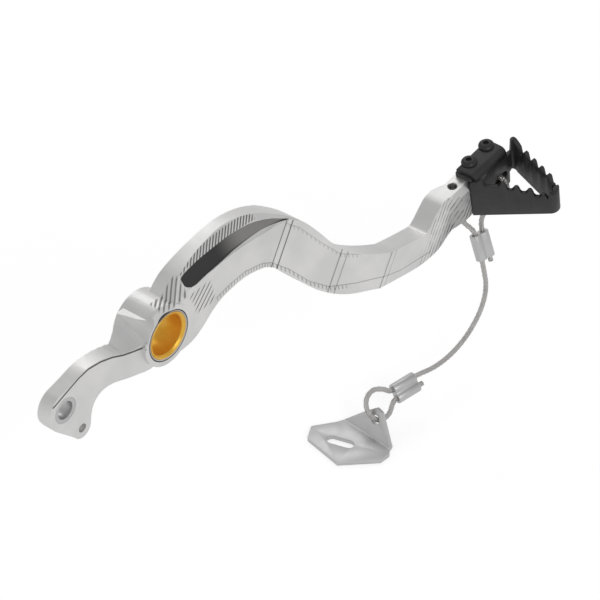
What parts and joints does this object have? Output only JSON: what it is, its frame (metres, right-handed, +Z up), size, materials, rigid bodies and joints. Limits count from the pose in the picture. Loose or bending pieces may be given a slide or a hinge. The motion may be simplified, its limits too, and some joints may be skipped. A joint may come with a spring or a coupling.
{
  "type": "rear brake pedal",
  "caption": "Rear brake pedal for a motorbike: cranked aluminium arm with a pivot bush, clevis eye, toothed sheet-steel foot tip, and a wire safety cable with an anchor bracket",
  "frame": {"origin": "middle of the pivot bore, on its axis", "axes": "+X forward to the foot tip, -Y outboard along the pivot to the rider's foot, +Z up with the pedal at rest"},
  "size_m": [0.275, 0.0732, 0.1558],
  "materials": {
    "arm": "polished",
    "bush": "machined bronze",
    "seal": "matte",
    "steel_bush": "machined",
    "tip": "satin black powder coat",
    "bolt": "black oxide",
    "cable": "bright stranded wire",
    "ferrule": "satin",
    "bracket": "satin"
  },
  "bodies": {
    "root": {"pedal_arm": "arm", "pivot_bush": "bush", "outer_seal": "seal", "inner_seal": "seal", "clevis_bush": "steel_bush", "tip_claw": "tip", "rear_tip_bolt": "bolt", "front_tip_bolt": "bolt", "safety_cable": "cable", "upper_ferrule": "ferrule", "lower_ferrule": "ferrule", "anchor_bracket": "bracket"}
  },
  "joints": []
}
